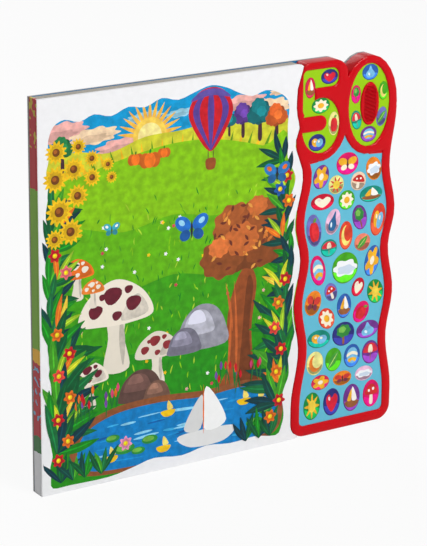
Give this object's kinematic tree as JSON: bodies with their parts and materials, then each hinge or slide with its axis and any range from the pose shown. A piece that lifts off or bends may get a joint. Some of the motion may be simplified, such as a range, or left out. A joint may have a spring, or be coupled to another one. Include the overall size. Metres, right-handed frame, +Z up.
{
  "type": "sound book",
  "caption": "Board book with a wavy right edge, hinged covers, and a slim plastic sound case beside it with oval press buttons and a speaker grille.",
  "frame": {"origin": "middle of the bounding box at the bottom edge, where the book stands", "axes": "+Z up the page, +X from the spine to the sound case, -Y out of the front cover"},
  "size_m": [0.3148, 0.0152, 0.3],
  "materials": {
    "cover_print": "gloss varnished print on stiff board",
    "spine_print": "gloss varnished print on stiff board",
    "page_board": "bare cut edges of thick board leaves",
    "back_print": "gloss varnished print on stiff board",
    "red_plastic": "glossy moulded",
    "keypad_film": "printed film on a moulded plate",
    "speaker_frame": "dull black",
    "circuit_board": "green solder mask",
    "button_purple": "printed film on a moulded key",
    "button_magenta": "printed film on a moulded key",
    "button_orange": "printed film on a moulded key",
    "button_straw": "printed film on a moulded key",
    "button_peach": "printed film on a moulded key",
    "button_scarlet": "printed film on a moulded key",
    "button_leaf": "printed film on a moulded key",
    "button_teal": "printed film on a moulded key",
    "button_lilac": "printed film on a moulded key",
    "button_pink": "printed film on a moulded key",
    "button_coral": "printed film on a moulded key",
    "button_salmon": "printed film on a moulded key",
    "button_blue": "printed film on a moulded key",
    "button_crimson": "printed film on a moulded key",
    "button_navy": "printed film on a moulded key",
    "button_forest": "printed film on a moulded key"
  },
  "bodies": {
    "back": {"back_cover": "back_print", "front_case": "red_plastic", "button_panel": "keypad_film", "speaker": "speaker_frame", "circuit_board": "circuit_board", "rear_case": "red_plastic", "battery_door": "red_plastic"},
    "pages": {"page_block": "page_board", "spine": "spine_print"},
    "cover": {"front_cover": "cover_print"},
    "button_01": {"button_01": "button_navy"},
    "button_02": {"button_02": "button_crimson"},
    "button_03": {"button_03": "button_forest"},
    "button_04": {"button_04": "button_straw"},
    "button_05": {"button_05": "button_navy"},
    "button_06": {"button_06": "button_blue"},
    "button_07": {"button_07": "button_magenta"},
    "button_08": {"button_08": "button_leaf"},
    "button_09": {"button_09": "button_teal"},
    "button_10": {"button_10": "button_lilac"},
    "button_11": {"button_11": "button_purple"},
    "button_12": {"button_12": "button_purple"},
    "button_13": {"button_13": "button_orange"},
    "button_14": {"button_14": "button_magenta"},
    "button_15": {"button_15": "button_straw"},
    "button_16": {"button_16": "button_peach"},
    "button_17": {"button_17": "button_scarlet"},
    "button_18": {"button_18": "button_teal"},
    "button_19": {"button_19": "button_leaf"},
    "button_20": {"button_20": "button_lilac"},
    "button_21": {"button_21": "button_coral"},
    "button_22": {"button_22": "button_pink"},
    "button_23": {"button_23": "button_purple"},
    "button_24": {"button_24": "button_coral"},
    "button_25": {"button_25": "button_teal"},
    "button_26": {"button_26": "button_salmon"},
    "button_27": {"button_27": "button_magenta"},
    "button_28": {"button_28": "button_blue"},
    "button_29": {"button_29": "button_leaf"},
    "button_30": {"button_30": "button_orange"},
    "button_31": {"button_31": "button_forest"},
    "button_32": {"button_32": "button_lilac"},
    "button_33": {"button_33": "button_scarlet"},
    "button_34": {"button_34": "button_blue"},
    "button_35": {"button_35": "button_coral"},
    "button_36": {"button_36": "button_magenta"},
    "button_37": {"button_37": "button_teal"},
    "button_38": {"button_38": "button_purple"},
    "button_39": {"button_39": "button_navy"},
    "button_40": {"button_40": "button_straw"},
    "button_41": {"button_41": "button_purple"},
    "button_42": {"button_42": "button_leaf"},
    "button_43": {"button_43": "button_blue"},
    "button_44": {"button_44": "button_crimson"},
    "button_45": {"button_45": "button_pink"},
    "button_46": {"button_46": "button_orange"},
    "button_47": {"button_47": "button_forest"},
    "button_48": {"button_48": "button_magenta"},
    "button_49": {"button_49": "button_navy"},
    "button_50": {"button_50": "button_purple"}
  },
  "joints": [
    {"name": "page_turn", "type": "hinge", "parent": "back", "child": "pages", "pos_m": [-0.1575, 0.0054, 0.15], "axis": [0, 0, -1], "range_deg": [0, 180]},
    {"name": "cover_turn", "type": "hinge", "parent": "pages", "child": "cover", "pos_m": [-0.1575, -0.0039, 0.15], "axis": [0, 0, -1], "range_deg": [0, 180]},
    {"name": "button_01_press", "type": "slide", "parent": "back", "child": "button_01", "axis": [0, 1, 0], "range_m": [0, 0.0008], "stiffness_N_per_m": 500},
    {"name": "button_02_press", "type": "slide", "parent": "back", "child": "button_02", "axis": [0, 1, 0], "range_m": [0, 0.0008], "stiffness_N_per_m": 500},
    {"name": "button_03_press", "type": "slide", "parent": "back", "child": "button_03", "axis": [0, 1, 0], "range_m": [0, 0.0008], "stiffness_N_per_m": 500},
    {"name": "button_04_press", "type": "slide", "parent": "back", "child": "button_04", "axis": [0, 1, 0], "range_m": [0, 0.0008], "stiffness_N_per_m": 500},
    {"name": "button_05_press", "type": "slide", "parent": "back", "child": "button_05", "axis": [0, 1, 0], "range_m": [0, 0.0008], "stiffness_N_per_m": 500},
    {"name": "button_06_press", "type": "slide", "parent": "back", "child": "button_06", "axis": [0, 1, 0], "range_m": [0, 0.0008], "stiffness_N_per_m": 500},
    {"name": "button_07_press", "type": "slide", "parent": "back", "child": "button_07", "axis": [0, 1, 0], "range_m": [0, 0.0008], "stiffness_N_per_m": 500},
    {"name": "button_08_press", "type": "slide", "parent": "back", "child": "button_08", "axis": [0, 1, 0], "range_m": [0, 0.0008], "stiffness_N_per_m": 500},
    {"name": "button_09_press", "type": "slide", "parent": "back", "child": "button_09", "axis": [0, 1, 0], "range_m": [0, 0.0008], "stiffness_N_per_m": 500},
    {"name": "button_10_press", "type": "slide", "parent": "back", "child": "button_10", "axis": [0, 1, 0], "range_m": [0, 0.0008], "stiffness_N_per_m": 500},
    {"name": "button_11_press", "type": "slide", "parent": "back", "child": "button_11", "axis": [0, 1, 0], "range_m": [0, 0.0008], "stiffness_N_per_m": 500},
    {"name": "button_12_press", "type": "slide", "parent": "back", "child": "button_12", "axis": [0, 1, 0], "range_m": [0, 0.0008], "stiffness_N_per_m": 500},
    {"name": "button_13_press", "type": "slide", "parent": "back", "child": "button_13", "axis": [0, 1, 0], "range_m": [0, 0.0008], "stiffness_N_per_m": 500},
    {"name": "button_14_press", "type": "slide", "parent": "back", "child": "button_14", "axis": [0, 1, 0], "range_m": [0, 0.0008], "stiffness_N_per_m": 500},
    {"name": "button_15_press", "type": "slide", "parent": "back", "child": "button_15", "axis": [0, 1, 0], "range_m": [0, 0.0008], "stiffness_N_per_m": 500},
    {"name": "button_16_press", "type": "slide", "parent": "back", "child": "button_16", "axis": [0, 1, 0], "range_m": [0, 0.0008], "stiffness_N_per_m": 500},
    {"name": "button_17_press", "type": "slide", "parent": "back", "child": "button_17", "axis": [0, 1, 0], "range_m": [0, 0.0008], "stiffness_N_per_m": 500},
    {"name": "button_18_press", "type": "slide", "parent": "back", "child": "button_18", "axis": [0, 1, 0], "range_m": [0, 0.0008], "stiffness_N_per_m": 500},
    {"name": "button_19_press", "type": "slide", "parent": "back", "child": "button_19", "axis": [0, 1, 0], "range_m": [0, 0.0008], "stiffness_N_per_m": 500},
    {"name": "button_20_press", "type": "slide", "parent": "back", "child": "button_20", "axis": [0, 1, 0], "range_m": [0, 0.0008], "stiffness_N_per_m": 500},
    {"name": "button_21_press", "type": "slide", "parent": "back", "child": "button_21", "axis": [0, 1, 0], "range_m": [0, 0.0008], "stiffness_N_per_m": 500},
    {"name": "button_22_press", "type": "slide", "parent": "back", "child": "button_22", "axis": [0, 1, 0], "range_m": [0, 0.0008], "stiffness_N_per_m": 500},
    {"name": "button_23_press", "type": "slide", "parent": "back", "child": "button_23", "axis": [0, 1, 0], "range_m": [0, 0.0008], "stiffness_N_per_m": 500},
    {"name": "button_24_press", "type": "slide", "parent": "back", "child": "button_24", "axis": [0, 1, 0], "range_m": [0, 0.0008], "stiffness_N_per_m": 500},
    {"name": "button_25_press", "type": "slide", "parent": "back", "child": "button_25", "axis": [0, 1, 0], "range_m": [0, 0.0008], "stiffness_N_per_m": 500},
    {"name": "button_26_press", "type": "slide", "parent": "back", "child": "button_26", "axis": [0, 1, 0], "range_m": [0, 0.0008], "stiffness_N_per_m": 500},
    {"name": "button_27_press", "type": "slide", "parent": "back", "child": "button_27", "axis": [0, 1, 0], "range_m": [0, 0.0008], "stiffness_N_per_m": 500},
    {"name": "button_28_press", "type": "slide", "parent": "back", "child": "button_28", "axis": [0, 1, 0], "range_m": [0, 0.0008], "stiffness_N_per_m": 500},
    {"name": "button_29_press", "type": "slide", "parent": "back", "child": "button_29", "axis": [0, 1, 0], "range_m": [0, 0.0008], "stiffness_N_per_m": 500},
    {"name": "button_30_press", "type": "slide", "parent": "back", "child": "button_30", "axis": [0, 1, 0], "range_m": [0, 0.0008], "stiffness_N_per_m": 500},
    {"name": "button_31_press", "type": "slide", "parent": "back", "child": "button_31", "axis": [0, 1, 0], "range_m": [0, 0.0008], "stiffness_N_per_m": 500},
    {"name": "button_32_press", "type": "slide", "parent": "back", "child": "button_32", "axis": [0, 1, 0], "range_m": [0, 0.0008], "stiffness_N_per_m": 500},
    {"name": "button_33_press", "type": "slide", "parent": "back", "child": "button_33", "axis": [0, 1, 0], "range_m": [0, 0.0008], "stiffness_N_per_m": 500},
    {"name": "button_34_press", "type": "slide", "parent": "back", "child": "button_34", "axis": [0, 1, 0], "range_m": [0, 0.0008], "stiffness_N_per_m": 500},
    {"name": "button_35_press", "type": "slide", "parent": "back", "child": "button_35", "axis": [0, 1, 0], "range_m": [0, 0.0008], "stiffness_N_per_m": 500},
    {"name": "button_36_press", "type": "slide", "parent": "back", "child": "button_36", "axis": [0, 1, 0], "range_m": [0, 0.0008], "stiffness_N_per_m": 500},
    {"name": "button_37_press", "type": "slide", "parent": "back", "child": "button_37", "axis": [0, 1, 0], "range_m": [0, 0.0008], "stiffness_N_per_m": 500},
    {"name": "button_38_press", "type": "slide", "parent": "back", "child": "button_38", "axis": [0, 1, 0], "range_m": [0, 0.0008], "stiffness_N_per_m": 500},
    {"name": "button_39_press", "type": "slide", "parent": "back", "child": "button_39", "axis": [0, 1, 0], "range_m": [0, 0.0008], "stiffness_N_per_m": 500},
    {"name": "button_40_press", "type": "slide", "parent": "back", "child": "button_40", "axis": [0, 1, 0], "range_m": [0, 0.0008], "stiffness_N_per_m": 500},
    {"name": "button_41_press", "type": "slide", "parent": "back", "child": "button_41", "axis": [0, 1, 0], "range_m": [0, 0.0008], "stiffness_N_per_m": 500},
    {"name": "button_42_press", "type": "slide", "parent": "back", "child": "button_42", "axis": [0, 1, 0], "range_m": [0, 0.0008], "stiffness_N_per_m": 500},
    {"name": "button_43_press", "type": "slide", "parent": "back", "child": "button_43", "axis": [0, 1, 0], "range_m": [0, 0.0008], "stiffness_N_per_m": 500},
    {"name": "button_44_press", "type": "slide", "parent": "back", "child": "button_44", "axis": [0, 1, 0], "range_m": [0, 0.0008], "stiffness_N_per_m": 500},
    {"name": "button_45_press", "type": "slide", "parent": "back", "child": "button_45", "axis": [0, 1, 0], "range_m": [0, 0.0008], "stiffness_N_per_m": 500},
    {"name": "button_46_press", "type": "slide", "parent": "back", "child": "button_46", "axis": [0, 1, 0], "range_m": [0, 0.0008], "stiffness_N_per_m": 500},
    {"name": "button_47_press", "type": "slide", "parent": "back", "child": "button_47", "axis": [0, 1, 0], "range_m": [0, 0.0008], "stiffness_N_per_m": 500},
    {"name": "button_48_press", "type": "slide", "parent": "back", "child": "button_48", "axis": [0, 1, 0], "range_m": [0, 0.0008], "stiffness_N_per_m": 500},
    {"name": "button_49_press", "type": "slide", "parent": "back", "child": "button_49", "axis": [0, 1, 0], "range_m": [0, 0.0008], "stiffness_N_per_m": 500},
    {"name": "button_50_press", "type": "slide", "parent": "back", "child": "button_50", "axis": [0, 1, 0], "range_m": [0, 0.0008], "stiffness_N_per_m": 500}
  ]
}
